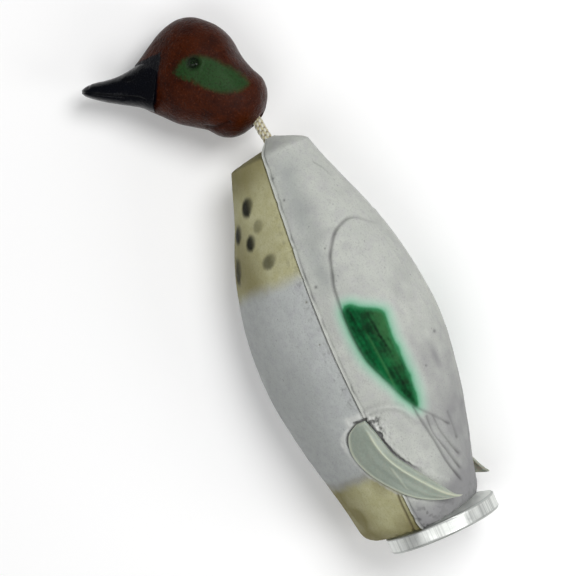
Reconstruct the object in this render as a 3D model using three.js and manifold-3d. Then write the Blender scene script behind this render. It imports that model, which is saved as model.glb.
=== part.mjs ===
// A launcher-type duck dummy for training retrievers, lying on its right flank.
// The soft foam body is two moulded halves glued on a seam. An aluminium launcher socket with a
// thick flange is set into the tail. A hard head hangs from a short length of braided rope that is
// knotted inside the head and behind the plug of the socket. Two folded vinyl feet are set in the flanks.
//
// Duck frame, in millimetres: the nose of the body is the origin, +X forwards, +Y to the duck's left,
// +Z towards its back. The distance "back" below is measured from the nose towards the tail.
// The part frame is reached at the end: the duck lies on its flank, +X towards the head, +Z up.

import * as THREE from "three";
import { mergeVertices } from "three/addons/utils/BufferGeometryUtils.js";
import Module from "manifold-3d";

const wasm = await Module();
wasm.setup();

// ---------------------------------------------------------------- driving dimensions
const GAP = 0.3; // clearance between touching pieces

const BODY_LENGTH = 207.3;
const NOSE_ROUNDING = 9; // the blunt dome at the neck end
const NOSE_BLUNTNESS = 0.2; // share of the section left at the tip of the nose
const NOSE_CURVE = 1.25;
const BELLY_SETBACK = 4.5; // the belly half starts behind the back half
const TAIL_ROUNDING = 7;
const TAIL_DRAW_IN = 0.17;
// 2 is an ellipse, higher is squarer, lower is nearer to a V
const BACK_POWER = 2.1;
const BELLY_POWER = 1.65;
// back, half width, height above the seam, depth below the seam
const BODY_STATIONS = [
  [9, 18, 18.6, 25.6],
  [20, 21.5, 21.8, 30.2],
  [35, 26, 27.2, 36.4],
  [50, 30, 32.6, 43.6],
  [65, 34, 37, 49.3],
  [85, 37.6, 40.8, 54.2],
  [110, 40, 42.8, 56.8],
  [132, 39.2, 40.8, 55.6],
  [155, 37, 36.2, 51.8],
  [172, 35.2, 31.2, 47.8],
  [185, 33.8, 27.1, 44.9],
  [BODY_LENGTH, 32, 20.8, 41.2],
];
const LIP_OUT = 1.2; // bead that the back half carries along the seam
const LIP_HEIGHT = 1.9;

const FLANGE_RADIUS = 29.5;
const FLANGE_RIM = 8.4;
const FLANGE_CONE_RADIUS = 20;
const FLANGE_CONE = 5;
const FLANGE_CONE_STEP = 3;
const FLANGE_DISH = 1;
const FLANGE_DISH_INSET = 4;
const FLANGE_BEVEL = 0.9;
const TUBE_OUTER = 12;
const TUBE_BORE = 10;
const TUBE_LENGTH = 97;
const PLUG_LENGTH = 7;
const WASHER_RADIUS = 8;
const WASHER_THICKNESS = 1.2;

const ROPE_RADIUS = 2.7;
const ROPE_CHANNEL = 3.3;
const KNOT_RADIUS = 5.4;
const KNOT_GROOVE = 0.6;
const KNOT_TAIL = 4; // rope left beyond a knot
const HEAD_KNOT_DEPTH = 24; // from the head's rope hole to the knot's middle
const MOUTH_DEPTH = 8; // the flared ends of the rope's ways
const MOUTH_FLARE = 6.4;
const MOUTH_WIDENING = 1.8;
const NECK_DROP = 10; // how far the rope sags between the body and the head
const NECK_PLAN = 10; // nose to the head's rope hole, seen from above
const PIVOT_INSET = 3.2; // how deep in each mouth the rope starts to bend

const EYE_RADIUS = 3.1;
const FOOT_THICKNESS = 1.6;
const FOOT_ROUNDNESS = 0.75;
const FOOT_BULGE = 0.7;
const FOOT_BULGE_ABOVE = 0.2;
const FOOT_SWING = THREE.MathUtils.degToRad(36); // how far a foot bends out of its slot

// how the duck lies
const REST_ROLL = THREE.MathUtils.degToRad(18); // back turned up
const REST_FLAT = 0.7; // how far its own weight flattens the flank that it lies on
const HEAD_TURN = THREE.MathUtils.degToRad(65.6); // bill against the body's axis, seen from above
const HEAD_SAG = THREE.MathUtils.degToRad(6); // bill hangs lower than the neck

// ---------------------------------------------------------------- solids
function solidOf(geometry) {
  const bare = geometry.clone();
  bare.deleteAttribute("normal");
  bare.deleteAttribute("uv");
  const merged = mergeVertices(bare, 1e-4);
  const mesh = new wasm.Mesh({
    numProp: 3,
    vertProperties: merged.attributes.position.array,
    triVerts: new Uint32Array(merged.index.array),
  });
  return new wasm.Manifold(mesh);
}

function geometryOf(solid) {
  const mesh = solid.getMesh();
  const geometry = new THREE.BufferGeometry();
  geometry.setAttribute("position", new THREE.BufferAttribute(mesh.vertProperties.slice(), 3));
  geometry.setIndex(new THREE.BufferAttribute(mesh.triVerts.slice(), 1));
  geometry.computeVertexNormals();
  return geometry;
}

// A closed body through rings of points, each ring with the same number of points.
function loft(rings) {
  const count = rings[0].length;
  const points = rings.flat();
  const faces = [];
  for (let i = 0; i < rings.length - 1; i++) {
    for (let j = 0; j < count; j++) {
      const a = i * count + j;
      const b = i * count + ((j + 1) % count);
      faces.push([a, b, b + count], [a, b + count, a + count]);
    }
  }
  for (const [ring, start, flip] of [[rings[0], 0, true], [rings.at(-1), points.length - count, false]]) {
    const centre = new THREE.Vector3();
    ring.forEach((p) => centre.addScaledVector(p, 1 / count));
    const hub = points.push(centre) - 1;
    for (let j = 0; j < count; j++) {
      const a = start + j;
      const b = start + ((j + 1) % count);
      faces.push(flip ? [hub, b, a] : [hub, a, b]);
    }
  }
  const geometry = new THREE.BufferGeometry().setFromPoints(points);
  geometry.setIndex(faces.flat());
  if (signedVolume(points, faces) < 0) {
    geometry.setIndex(faces.flatMap(([a, b, c]) => [a, c, b]));
  }
  return solidOf(geometry);
}

function signedVolume(points, faces) {
  return faces.reduce((sum, [a, b, c]) => {
    const normal = new THREE.Vector3().crossVectors(points[b], points[c]);
    return sum + points[a].dot(normal) / 6;
  }, 0);
}

// A solid of revolution about the body's axis, from [back, radius] pairs that start and end on the axis
// or that close on themselves.
function turned(profile, segments = 40) {
  const outline = profile.map(([back, radius]) => new THREE.Vector2(radius, -back));
  const geometry = new THREE.LatheGeometry(outline, segments);
  geometry.rotateZ(-Math.PI / 2);
  return uprighted(geometry);
}

// Turns a closed geometry's faces outwards if they point in.
function uprighted(geometry) {
  const solid = solidOf(geometry);
  if (solid.volume() > 0) return solid;
  const index = geometry.index.array;
  for (let i = 0; i < index.length; i += 3) {
    [index[i + 1], index[i + 2]] = [index[i + 2], index[i + 1]];
  }
  return solidOf(geometry);
}

function rod(radius, fromBack, toBack, segments = 24) {
  return turned([[fromBack, 0], [fromBack, radius], [toBack, radius], [toBack, 0]], segments);
}

function ring(outer, inner, fromBack, toBack, segments = 32) {
  const corners = [[fromBack, inner], [fromBack, outer], [toBack, outer], [toBack, inner]];
  return turned([...corners, corners[0]], segments);
}

function placed(solid, position, rotation = new THREE.Matrix4()) {
  const matrix = new THREE.Matrix4().makeTranslation(position).multiply(rotation);
  return solidOf(geometryOf(solid).applyMatrix4(matrix));
}

function sphere(radius, centre, segments = 14) {
  const geometry = new THREE.SphereGeometry(radius, segments, segments / 2);
  geometry.translate(centre.x, centre.y, centre.z);
  return solidOf(geometry);
}

// A boolean can leave crumbs beside the piece itself.
function largestBody(solid) {
  return solid.decompose().sort((a, b) => b.volume() - a.volume())[0];
}

// A round-ended rod between two points.
function capsule(from, to, radius, segments = 12) {
  const way = to.clone().sub(from);
  const geometry = new THREE.CapsuleGeometry(radius, way.length() - 2 * radius, 4, segments);
  const turn = new THREE.Quaternion().setFromUnitVectors(new THREE.Vector3(0, 1, 0), way.normalize());
  geometry.applyQuaternion(turn);
  const middle = from.clone().add(to).multiplyScalar(0.5);
  geometry.translate(middle.x, middle.y, middle.z);
  return solidOf(geometry);
}

// ---------------------------------------------------------------- the foam body
// Smooth value through the rows of a table at a given first column.
function sampled(table, at, column) {
  const last = table.length - 1;
  const rows = table.map((row) => [row[0], row[column]]);
  if (at <= rows[0][0]) return rows[0][1];
  if (at >= rows[last][0]) return rows[last][1];
  const i = rows.findIndex(([x]) => x > at) - 1;
  const slope = (k) => {
    const low = Math.max(k - 1, 0);
    const high = Math.min(k + 1, last);
    return (rows[high][1] - rows[low][1]) / (rows[high][0] - rows[low][0]);
  };
  const span = rows[i + 1][0] - rows[i][0];
  const t = (at - rows[i][0]) / span;
  const t2 = t * t;
  const t3 = t2 * t;
  return (2 * t3 - 3 * t2 + 1) * rows[i][1] + (t3 - 2 * t2 + t) * span * slope(i)
    + (3 * t2 - 2 * t3) * rows[i + 1][1] + (t3 - t2) * span * slope(i + 1);
}

const noseStart = (side) => (side > 0 ? 0 : BELLY_SETBACK);

// How much the blunt nose and the rounded tail pull a section in.
function endScale(back, side) {
  if (back < NOSE_ROUNDING) {
    const start = noseStart(side);
    const rise = (back - start) / (NOSE_ROUNDING - start);
    return NOSE_BLUNTNESS + (1 - NOSE_BLUNTNESS) * Math.pow(Math.sin((rise * Math.PI) / 2), NOSE_CURVE);
  }
  const past = back - (BODY_LENGTH - TAIL_ROUNDING);
  if (past <= 0) return 1;
  return 1 - TAIL_DRAW_IN * (1 - Math.sqrt(1 - Math.pow(Math.min(past / TAIL_ROUNDING, 1), 2)));
}

function section(back, side) {
  const k = endScale(back, side);
  const at = Math.max(back, NOSE_ROUNDING);
  return {
    width: sampled(BODY_STATIONS, at, 1) * k,
    up: sampled(BODY_STATIONS, at, 2) * k,
    down: sampled(BODY_STATIONS, at, 3) * k,
    scale: k,
  };
}

const ARC_STEPS = 22;

// One half's closed section; side is 1 for the back half and -1 for the belly half.
function halfRing(back, side) {
  const { width, up, down, scale } = section(back, side);
  const height = side > 0 ? up : down;
  const power = side > 0 ? BACK_POWER : BELLY_POWER;
  const points = [];
  for (let i = 0; i <= ARC_STEPS; i++) {
    const angle = (Math.PI * i) / ARC_STEPS;
    const c = Math.cos(angle);
    const s = Math.sin(angle);
    const y = width * Math.sign(c) * Math.pow(Math.abs(c), 2 / power);
    const z = height * Math.pow(Math.abs(s), 2 / power);
    points.push([y, Math.max(z, GAP / 2)]);
  }
  if (side > 0) {
    const lip = LIP_OUT * scale;
    const top = LIP_HEIGHT * scale;
    points[0] = [width + lip, GAP / 2];
    points[ARC_STEPS] = [-width - lip, GAP / 2];
    points.splice(1, 0, [width + lip, top]);
    points.splice(ARC_STEPS + 1, 0, [-width - lip, top]);
  }
  return points.map(([y, z]) => new THREE.Vector3(-back, y, side * z));
}

const RING_PLACES = [
  0, 2, 4, 6, 7.5, NOSE_ROUNDING, 14, 20, 28, 36, 46, 57, 68, 80, 92, 105, 118, 129, 140, 152, 163, 173,
  182, 191, ...[1, 0.5, 0.17, 0].map((left) => BODY_LENGTH - left * TAIL_ROUNDING),
];

function halfBody(side) {
  const start = noseStart(side);
  const squeezed = (back) => start + (back * (NOSE_ROUNDING - start)) / NOSE_ROUNDING;
  const places = RING_PLACES.map((back) => (back < NOSE_ROUNDING ? squeezed(back) : back));
  return loft(places.map((back) => halfRing(back, side)));
}

// ---------------------------------------------------------------- the launcher socket
const flangeFront = BODY_LENGTH;
const flangeRear = flangeFront + FLANGE_RIM;
const tubeFront = flangeRear - TUBE_LENGTH;
const plugRear = tubeFront + PLUG_LENGTH;

function flangeProfile(grow) {
  const bore = TUBE_OUTER + GAP;
  return [
    [flangeFront - FLANGE_CONE - grow, grow > 0 ? 0 : bore],
    [flangeFront - FLANGE_CONE - grow, FLANGE_CONE_RADIUS - FLANGE_CONE_STEP + grow],
    [flangeFront - FLANGE_CONE / 2 - grow, FLANGE_CONE_RADIUS + grow],
    [flangeFront - FLANGE_DISH - grow, FLANGE_RADIUS - FLANGE_DISH_INSET],
    [flangeFront - grow, FLANGE_RADIUS - FLANGE_BEVEL],
    [flangeFront + FLANGE_BEVEL, FLANGE_RADIUS],
    [flangeRear - FLANGE_BEVEL, FLANGE_RADIUS],
    [flangeRear, FLANGE_RADIUS - FLANGE_BEVEL],
    [flangeRear, grow > 0 ? 0 : bore],
  ];
}

function flange() {
  const profile = flangeProfile(0);
  return turned([...profile, profile[0]], 56);
}

const tube = () => ring(TUBE_OUTER, TUBE_BORE, tubeFront, flangeRear);
const plug = () => ring(TUBE_BORE - GAP, ROPE_CHANNEL, tubeFront, plugRear);
const washerBack = plugRear + GAP;
const bodyWasher = () => ring(WASHER_RADIUS, ROPE_CHANNEL, washerBack, washerBack + WASHER_THICKNESS);
const bodyKnotCentre = new THREE.Vector3(-(washerBack + WASHER_THICKNESS + GAP + KNOT_RADIUS), 0, 0);

// A stopper knot: a round lump with the three grooves of its turns, bored for the rope.
function knot(centre, axis) {
  const lump = sphere(KNOT_RADIUS, new THREE.Vector3(), 16);
  const turn = new THREE.Matrix4().makeRotationFromQuaternion(
    new THREE.Quaternion().setFromUnitVectors(new THREE.Vector3(1, 0, 0), axis));
  const bore = rod(ROPE_RADIUS + GAP, -2 * KNOT_RADIUS, 2 * KNOT_RADIUS, 16);
  const grooves = [-1, 0, 1].map((k) => {
    const groove = new THREE.TorusGeometry(KNOT_RADIUS + 0.2, KNOT_GROOVE, 4, 14);
    groove.rotateX(THREE.MathUtils.degToRad(70));
    groove.rotateZ(THREE.MathUtils.degToRad(43 * k));
    return solidOf(groove);
  });
  const cut = grooves.reduce((sum, groove) => sum.subtract(groove), lump.subtract(bore));
  return placed(largestBody(cut), centre, turn);
}

// The funnel at the end of a rope's way, which lets the rope bend.
function ropeMouth() {
  const wide = MOUTH_FLARE + MOUTH_WIDENING;
  const profile = [
    [-MOUTH_DEPTH, 0], [-MOUTH_DEPTH, wide], [0, MOUTH_FLARE], [MOUTH_DEPTH, ROPE_CHANNEL], [MOUTH_DEPTH, 0],
  ];
  return turned(profile, 24);
}

// ---------------------------------------------------------------- the head
// Head frame: origin at the rope hole in the neck, +X towards the bill, +Y left, +Z to the crown.
// Each row is the distance along, the bottom, the top and the half width.
const HEAD_STATIONS = [
  [-3.5, 9, 17, 5],
  [-2.1, 4.2, 20.5, 9.5],
  [0.5, 0, 23.4, 13],
  [4.5, -4, 26.8, 16],
  [9.5, -7.2, 33, 18.4],
  [14.5, -8.5, 41.5, 19.6],
  [19.5, -8, 46.5, 20.2],
  [25.5, -5, 49.8, 20.4],
  [33.5, -3.2, 52, 20],
  [41, -1.6, 51, 17.8],
  [46.5, 0.6, 48, 15.2],
  [51.5, 2.8, 43.4, 12.2],
  [55.5, 4.4, 38.4, 9.8],
  [60, 6.4, 32.4, 7],
  [63.5, 7.6, 28, 4.6],
];
// The same, and the section's squareness. The first two rows are the tenon inside the head.
const BILL_STATIONS = [
  [46, 8, 24, 7.6, 2.4],
  [50.2, 7, 26, 8.6, 2.4],
  [50.5, 1.8, 32, 13.8, 3.2],
  [54, 3.2, 31.6, 12.2, 3],
  [59.5, 5.6, 29.6, 10.4, 2.6],
  [65, 7, 26, 8.8, 2.3],
  [72, 8.2, 22.2, 8, 2.1],
  [79, 9.4, 20, 7.9, 2.1],
  [85, 10.8, 18.8, 7.7, 2.1],
  [88.6, 12, 17.3, 6.2, 2],
  [90.6, 13.4, 15.8, 3.4, 2],
];
const HEAD_POINTS = 24;
const HEAD_POWER = 2.15;
const HEAD_CHEEK = 0.44; // how high the widest line runs, from the bottom
const BILL_CHEEK = 0.42;
const EYE_PLACE = new THREE.Vector3(30, 18.2, 28.6);

// A ring that is fuller at the cheeks than at the crown.
function headRing([along, bottom, top, width], power, cheek) {
  const middle = bottom + (top - bottom) * cheek;
  return Array.from({ length: HEAD_POINTS }, (_, i) => {
    const angle = (2 * Math.PI * i) / HEAD_POINTS;
    const c = Math.cos(angle);
    const s = Math.sin(angle);
    const reach = s > 0 ? top - middle : middle - bottom;
    const y = width * Math.sign(c) * Math.pow(Math.abs(c), 2 / power);
    const z = middle + reach * Math.sign(s) * Math.pow(Math.abs(s), 2 / power);
    return new THREE.Vector3(along, y, z);
  });
}

function grown([along, bottom, top, width, power], by) {
  return [along, bottom - by, top + by, width + by, power];
}

function bill(grow = 0) {
  const stations = BILL_STATIONS.map((row) => grown(row, grow));
  if (grow > 0) stations.unshift([BILL_STATIONS[0][0] - grow, ...stations[0].slice(1)]);
  return loft(stations.map((row) => headRing(row, row[4], BILL_CHEEK)));
}

const neckWay = new THREE.Vector3(1, 0, 0.72).normalize(); // the rope's way into the head
const headPivot = neckWay.clone().multiplyScalar(PIVOT_INSET);
const headKnotCentre = neckWay.clone().multiplyScalar(HEAD_KNOT_DEPTH);
const headWasherDepth = HEAD_KNOT_DEPTH - KNOT_RADIUS - GAP - WASHER_THICKNESS / 2;
const headWasherCentre = neckWay.clone().multiplyScalar(headWasherDepth);
const eyePlace = (side) => new THREE.Vector3(EYE_PLACE.x, side * EYE_PLACE.y, EYE_PLACE.z);

function alongNeck(solid) {
  const turn = new THREE.Quaternion().setFromUnitVectors(new THREE.Vector3(-1, 0, 0), neckWay);
  return placed(solid, new THREE.Vector3(), new THREE.Matrix4().makeRotationFromQuaternion(turn));
}

function headShell() {
  const washerFront = HEAD_KNOT_DEPTH - KNOT_RADIUS - 2 * GAP - WASHER_THICKNESS;
  const ropeEnd = HEAD_KNOT_DEPTH + KNOT_RADIUS + KNOT_TAIL;
  const cuts = [
    bill(GAP),
    sphere(KNOT_RADIUS + 2 * GAP, headKnotCentre),
    alongNeck(rod(WASHER_RADIUS + GAP, washerFront, HEAD_KNOT_DEPTH)),
    alongNeck(rod(ROPE_CHANNEL, -MOUTH_DEPTH, ropeEnd)),
    alongNeck(ropeMouth()),
    ...[-1, 1].map((side) => sphere(EYE_RADIUS + GAP, eyePlace(side))),
  ];
  const shell = loft(HEAD_STATIONS.map((row) => headRing(row, HEAD_POWER, HEAD_CHEEK)));
  return largestBody(cuts.reduce((sum, solid) => sum.subtract(solid), shell));
}

const headWasher = () => placed(
  alongNeck(ring(WASHER_RADIUS - GAP, ROPE_CHANNEL, -WASHER_THICKNESS / 2, WASHER_THICKNESS / 2, 28)),
  headWasherCentre);

// ---------------------------------------------------------------- the feet
// Left foot's folded web: back, then [side, up] of its lower edge, its crest and its upper edge.
const FOOT_STATIONS = [
  [146.2, [36.4, -6], [37.6, -3], [37.4, -0.8]],
  [149.5, [34.8, -12.2], [38, -2], [37.2, 0.4]],
  [154, [33.8, -15.2], [38.2, -1], [37, 1.8]],
  [160, [33.4, -16.2], [38.4, 0], [36.6, 3.2]],
  [167, [33.6, -14.4], [38.2, 2.2], [35.8, 5]],
  [174, [34.1, -10.6], [37.4, 5.6], [34.4, 8.8]],
  [181, [34.6, -5], [35.8, 10], [32.4, 13]],
  [188, [34.4, 1.4], [33.2, 14.6], [30, 17.3]],
  [193.5, [32.4, 8.4], [30.4, 18.4], [28.2, 20.5]],
  [197.5, [29, 16.4], [27.6, 22], [26.8, 23.2]],
  [199.5, [25.6, 24.2], [25.2, 25], [24.8, 25.6]],
];
const FOOT_PLAY = 1.2; // room in front of the foot, which it turns into
const FOOT_HINGE_OUT = 35.4;
const SLOT_ROOM = 0.45;

function footRing([back, low, crest, high], side, grow) {
  const outer = [low, midpoint(low, crest, FOOT_BULGE), crest, midpoint(crest, high, FOOT_BULGE_ABOVE), high];
  const outward = outer.map(([y, z]) => new THREE.Vector2(y, FOOT_ROUNDNESS * z).normalize());
  const lift = outer.map(([y, z], i) => [y + grow * outward[i].x, z + grow * outward[i].y]);
  const depth = FOOT_THICKNESS + 2 * grow;
  const inner = lift.map(([y, z], i) => [y - depth * outward[i].x, z - depth * outward[i].y]);
  lift[0][1] -= grow;
  inner[0][1] -= grow;
  lift[4][1] += grow;
  inner[4][1] += grow;
  return [...lift, ...inner.reverse()].map(([y, z]) => new THREE.Vector3(-back, side * y, z));
}

function midpoint(a, b, bulge) {
  return [(a[0] + b[0]) / 2 + bulge, (a[1] + b[1]) / 2];
}

function foot(side, grow = 0) {
  const rings = FOOT_STATIONS.map((row) => footRing(row, side, grow));
  if (grow > 0) {
    const front = FOOT_STATIONS[0];
    rings.unshift(footRing([front[0] - FOOT_PLAY, ...front.slice(1)], side, grow));
  }
  return loft(rings);
}

// The slot that a foot lies in, and swings out of about its front edge.
function footSlot(side) {
  const hinge = new THREE.Vector3(FOOT_PLAY / 4 - FOOT_STATIONS[0][0], side * FOOT_HINGE_OUT, 0);
  const still = foot(side, SLOT_ROOM);
  const steps = [1, 2, 3, 4].map((k) => {
    const turn = new THREE.Matrix4().makeRotationZ((-side * FOOT_SWING * k) / 4);
    const moved = geometryOf(still).translate(-hinge.x, -hinge.y, 0).applyMatrix4(turn);
    return solidOf(moved.translate(hinge.x, hinge.y, 0));
  });
  return steps.reduce((sum, solid) => sum.add(solid), still);
}

// ---------------------------------------------------------------- cutting the body for what it holds
// The way up in the body's own frame as it lies, and how far the foam reaches down from the axis.
const restUp = new THREE.Vector3(0, Math.cos(REST_ROLL), Math.sin(REST_ROLL));
const restDown = restUp.clone().negate();
const flankReach = Math.max(...[1, -1].map((side) => reach(halfBody(side), restDown)));

function reach(solid, way) {
  const position = geometryOf(solid).getAttribute("position");
  const point = new THREE.Vector3();
  let most = -Infinity;
  for (let i = 0; i < position.count; i++) {
    most = Math.max(most, point.fromBufferAttribute(position, i).dot(way));
  }
  return most;
}

function restedHalf(side) {
  return halfBody(side).trimByPlane(restUp.toArray(), REST_FLAT - flankReach);
}

function bodyHalf(side) {
  const ropeWay = rod(ROPE_CHANNEL, -MOUTH_DEPTH, tubeFront);
  const socket = rod(TUBE_OUTER + GAP, tubeFront - GAP, flangeRear);
  const seat = turned(flangeProfile(GAP), 32);
  const cuts = [ropeMouth(), ropeWay, socket, seat, footSlot(1), footSlot(-1)];
  return largestBody(cuts.reduce((sum, solid) => sum.subtract(solid), restedHalf(side)));
}

// ---------------------------------------------------------------- where the rope bends
const bodyPivot = new THREE.Vector3(-PIVOT_INSET, 0, 0);

// From the duck frame to the part frame, before the part is set on the ground.
const lie = new THREE.Matrix4().makeRotationX(Math.PI / 2 - REST_ROLL);

// The head's place in the part frame: it lies level, turned from the axis, and its bill sags.
const headTurn = new THREE.Matrix4().makeBasis(
  new THREE.Vector3(Math.cos(HEAD_TURN), Math.sin(HEAD_TURN), 0),
  new THREE.Vector3(0, 0, 1),
  new THREE.Vector3(Math.sin(HEAD_TURN), -Math.cos(HEAD_TURN), 0));
const headSag = new THREE.Matrix4().makeRotationZ(-HEAD_SAG);
const headPlace = new THREE.Matrix4().makeTranslation(NECK_PLAN, 1, -NECK_DROP)
  .multiply(headTurn).multiply(headSag);

const headPivotLying = headPivot.clone().applyMatrix4(headPlace);
const bodyPivotLying = bodyPivot.clone().applyMatrix4(lie);
const neckMiddle = bodyPivotLying.clone().add(headPivotLying).multiplyScalar(0.5);

function ropeLink(from, to) {
  const way = to.clone().sub(from).normalize().multiplyScalar(GAP / 2 + 0.05);
  return capsule(from.clone().add(way), to.clone().sub(way), ROPE_RADIUS);
}

// The rope inside the body and inside the head, with a round end at its pivot.
const bodyRope = () => capsule(
  new THREE.Vector3(bodyKnotCentre.x - KNOT_RADIUS - KNOT_TAIL, 0, 0),
  new THREE.Vector3(bodyPivot.x - GAP / 2, 0, 0), ROPE_RADIUS);
const headRope = () => capsule(
  neckWay.clone().multiplyScalar(PIVOT_INSET + GAP / 2),
  neckWay.clone().multiplyScalar(HEAD_KNOT_DEPTH + KNOT_RADIUS + KNOT_TAIL - GAP), ROPE_RADIUS);

// ---------------------------------------------------------------- colours
const PAINT = {
  greyFoam: [0xc9cacb, 0.6, 0],
  bellyFoam: [0xc3c5ca, 0.6, 0],
  aluminium: [0xd5d8d6, 0.32, 1],
  plug: [0x4a4d50, 0.5, 0],
  steel: [0xb5b8ba, 0.35, 1],
  rope: [0xcfc9a6, 0.9, 0],
  brown: [0x4a2017, 0.5, 0],
  black: [0x0d0e12, 0.35, 0],
  eye: [0x08070a, 0.08, 0],
  vinyl: [0xc6cbbd, 0.45, 0],
};

function piece(name, solid, [color, roughness, metalness]) {
  const material = new THREE.MeshStandardMaterial({ color, roughness, metalness });
  const mesh = new THREE.Mesh(geometryOf(solid), material);
  mesh.name = name;
  return mesh;
}

// ---------------------------------------------------------------- assembly
const duck = new THREE.Group();
duck.applyMatrix4(lie);
duck.add(
  piece("back_half", bodyHalf(1), PAINT.greyFoam),
  piece("belly_half", bodyHalf(-1), PAINT.bellyFoam),
  piece("launcher_flange", flange(), PAINT.aluminium),
  piece("launcher_tube", tube(), PAINT.aluminium),
  piece("tube_plug", plug(), PAINT.plug),
  piece("body_washer", bodyWasher(), PAINT.steel),
  piece("body_knot", knot(bodyKnotCentre, new THREE.Vector3(1, 0, 0)), PAINT.rope),
  piece("rope_in_body", bodyRope(), PAINT.rope),
  piece("left_foot", foot(1), PAINT.vinyl),
  piece("right_foot", foot(-1), PAINT.vinyl),
);

const neck = new THREE.Group();
neck.add(
  piece("rope_lower_link", ropeLink(bodyPivotLying, neckMiddle), PAINT.rope),
  piece("rope_upper_link", ropeLink(neckMiddle, headPivotLying), PAINT.rope),
);

const head = new THREE.Group();
head.applyMatrix4(headPlace);
head.add(
  piece("head_shell", headShell(), PAINT.brown),
  piece("bill", bill(), PAINT.black),
  piece("left_eye", sphere(EYE_RADIUS, eyePlace(1)), PAINT.eye),
  piece("right_eye", sphere(EYE_RADIUS, eyePlace(-1)), PAINT.eye),
  piece("head_washer", headWasher(), PAINT.steel),
  piece("head_knot", knot(headKnotCentre, neckWay), PAINT.rope),
  piece("rope_in_head", headRope(), PAINT.rope),
);

// The part's origin is the middle of its footprint, on the ground it lies on.
const part = new THREE.Group();
part.add(duck, neck, head);
part.updateMatrixWorld(true);
const box = new THREE.Box3().setFromObject(part, true);
const middle = box.getCenter(new THREE.Vector3());
part.position.set(-middle.x, -middle.y, -box.min.z);

export default part;
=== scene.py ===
"""Foam retrieving dummy in the shape of a small duck, lying on its flank.

Lengths are millimetres until from_body() or from_head() turns them into metres in the row frame.
Body surfaces are described by back, the distance from the nose, and rise, the height across the
flank seen square on. The body's own axes are x forward, y left and z towards the duck's back, and
a side of 1 means the upper half or the left foot, -1 the lower half or the right foot.
"""
import math

import bpy
import numpy as np
from mathutils import Matrix, Vector


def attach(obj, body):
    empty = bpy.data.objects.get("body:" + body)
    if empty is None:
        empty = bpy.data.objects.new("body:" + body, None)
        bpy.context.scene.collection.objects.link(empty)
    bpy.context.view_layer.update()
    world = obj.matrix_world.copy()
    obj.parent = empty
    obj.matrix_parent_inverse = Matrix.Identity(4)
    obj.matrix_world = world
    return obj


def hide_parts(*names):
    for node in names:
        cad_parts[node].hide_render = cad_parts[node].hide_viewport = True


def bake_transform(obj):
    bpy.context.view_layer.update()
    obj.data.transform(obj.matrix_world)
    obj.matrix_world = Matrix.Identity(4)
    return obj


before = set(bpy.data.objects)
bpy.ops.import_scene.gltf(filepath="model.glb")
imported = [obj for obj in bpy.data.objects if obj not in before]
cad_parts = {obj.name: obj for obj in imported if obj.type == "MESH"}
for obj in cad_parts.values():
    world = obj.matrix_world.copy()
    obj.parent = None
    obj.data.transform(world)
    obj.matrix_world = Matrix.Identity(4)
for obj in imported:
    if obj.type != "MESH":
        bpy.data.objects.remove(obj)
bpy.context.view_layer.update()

MM = 0.001
FLANK_TILT = math.radians(22)  # the flank's square-on view against the seam plane

# --- camera ---

VIEW_TARGET = Vector((-1.13, 4.25, 43.2)) * MM
VIEW_WAY = Vector((0.033, -0.07, 0.997)).normalized()
VIEW_UP = Vector((0.910, -0.414, 0.0))
VIEW_DISTANCE = 1.5

camera_data = bpy.data.cameras.new("camera")
camera_data.lens = 187.5
camera_data.sensor_width = 36
camera = bpy.data.objects.new("camera", camera_data)
bpy.context.scene.collection.objects.link(camera)
side_way = VIEW_UP.cross(VIEW_WAY).normalized()
up_way = VIEW_WAY.cross(side_way)
camera.matrix_world = Matrix.Translation(VIEW_TARGET + VIEW_WAY * VIEW_DISTANCE) @ Matrix(
    (side_way, up_way, VIEW_WAY)).transposed().to_4x4()
bpy.context.scene.camera = camera

# --- frames of the body and the head ---

NOSE = np.array([71.205, -17.457, 39.256])
HEAD_HOLE = np.array([81.205, -16.457, 29.256])
BODY_AXES = np.array([[1, 0, 0], [0, 0.3090, 0.9511], [0, -0.9511, 0.3090]])
HEAD_AXES = np.array([[0.41084, 0.90569, -0.10453], [0.04318, 0.09519, 0.99452],
                      [0.91068, -0.41310, 0.0]])
NECK_WAY = np.array([1, 0, 0.72]) / math.hypot(1, 0.72)


def from_body(points):
    """Row-frame metres of points given in the body's axes."""
    return (NOSE + np.asarray(points, float) @ BODY_AXES) * MM


def from_head(points):
    """Row-frame metres of points given in the head's axes."""
    return (HEAD_HOLE + np.asarray(points, float) @ HEAD_AXES) * MM


# --- small number helpers ---

def smooth(low, high, value):
    t = np.clip((value - low) / (high - low), 0, 1)
    return t * t * (3 - 2 * t)


def between(a, b, c, d, value):
    """1 from b to c, falling to 0 at a and at d."""
    return smooth(a, b, value) * (1 - smooth(c, d, value))


def bell(value, width):
    return np.exp(-(value / width) ** 2)


def hermite(table, column, at):
    """Smooth curve through a table's column, as in the CAD."""
    x = np.array([row[0] for row in table], float)
    v = np.array([row[column] for row in table], float)
    slope = np.empty_like(v)
    slope[1:-1] = (v[2:] - v[:-2]) / (x[2:] - x[:-2])
    slope[0] = (v[1] - v[0]) / (x[1] - x[0])
    slope[-1] = (v[-1] - v[-2]) / (x[-1] - x[-2])
    at = np.clip(np.asarray(at, float), x[0], x[-1])
    i = np.clip(np.searchsorted(x, at, side="right") - 1, 0, len(x) - 2)
    span = x[i + 1] - x[i]
    t = (at - x[i]) / span
    t2, t3 = t * t, t * t * t
    return ((2 * t3 - 3 * t2 + 1) * v[i] + (t3 - 2 * t2 + t) * span * slope[i]
            + (3 * t2 - 2 * t3) * v[i + 1] + (t3 - t2) * span * slope[i + 1])


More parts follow.
